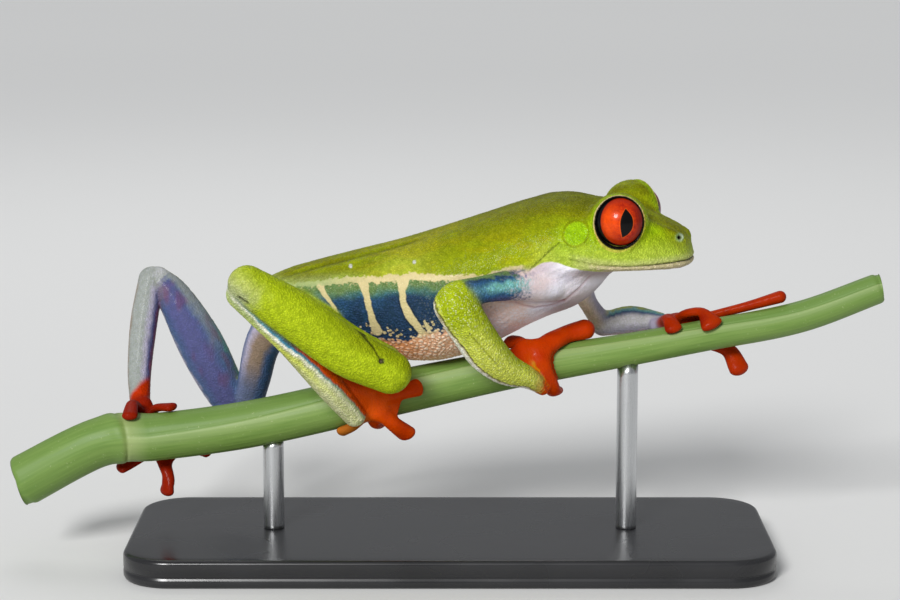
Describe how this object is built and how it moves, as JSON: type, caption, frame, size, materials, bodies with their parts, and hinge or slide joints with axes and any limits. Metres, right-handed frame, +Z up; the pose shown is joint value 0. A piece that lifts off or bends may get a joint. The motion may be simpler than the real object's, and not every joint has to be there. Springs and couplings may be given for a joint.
{
  "type": "red-eyed tree frog",
  "caption": "Life-size still model of a red-eyed tree frog climbing along a short cut length of green stem, held by a plain stand.",
  "frame": {"origin": "middle of the underside of the stand's base, on the surface that it stands on", "axes": "+X along the stand towards the frog's snout, +Y towards the frog's left side, +Z up"},
  "size_m": [0.1249, 0.0368, 0.054],
  "materials": {
    "skin_green": "moist, finely granular lime-green skin with a cream stripe and blue flanks",
    "skin_blue": "moist blue skin",
    "skin_pale": "moist whitish skin of throat and belly",
    "skin_orange": "wet orange-red skin of hands and feet",
    "eye": "glassy red eye with an upright black pupil",
    "stem": "smooth fresh green plant stem, finely striated",
    "stand_base": "satin black",
    "stand_rod": "brushed"
  },
  "bodies": {
    "root": {"trunk": "skin_green", "head": "skin_green", "lower_jaw": "skin_pale", "eardrum_right": "skin_green", "eardrum_left": "skin_green", "eye_right": "eye", "eye_left": "eye", "upper_arm_right": "skin_blue", "forearm_right": "skin_green", "hand_right": "skin_orange", "finger_right_1": "skin_orange", "finger_right_2": "skin_orange", "finger_right_3": "skin_orange", "finger_right_4": "skin_orange", "thigh_right": "skin_green", "shank_right": "skin_green", "tarsus_right": "skin_green", "foot_right": "skin_orange", "toe_right_1": "skin_orange", "toe_right_2": "skin_orange", "toe_right_3": "skin_orange", "toe_right_4": "skin_orange", "toe_right_5": "skin_orange", "upper_arm_left": "skin_blue", "forearm_left": "skin_green", "hand_left": "skin_orange", "finger_left_1": "skin_orange", "finger_left_2": "skin_orange", "finger_left_3": "skin_orange", "finger_left_4": "skin_orange", "thigh_left": "skin_green", "shank_left": "skin_green", "tarsus_left": "skin_green", "foot_left": "skin_orange", "toe_left_1": "skin_orange", "toe_left_2": "skin_orange", "toe_left_3": "skin_orange", "toe_left_4": "skin_orange", "toe_left_5": "skin_orange", "perch_stem": "stem", "stand_base": "stand_base", "stand_rod_1": "stand_rod", "stand_rod_2": "stand_rod"}
  },
  "joints": []
}
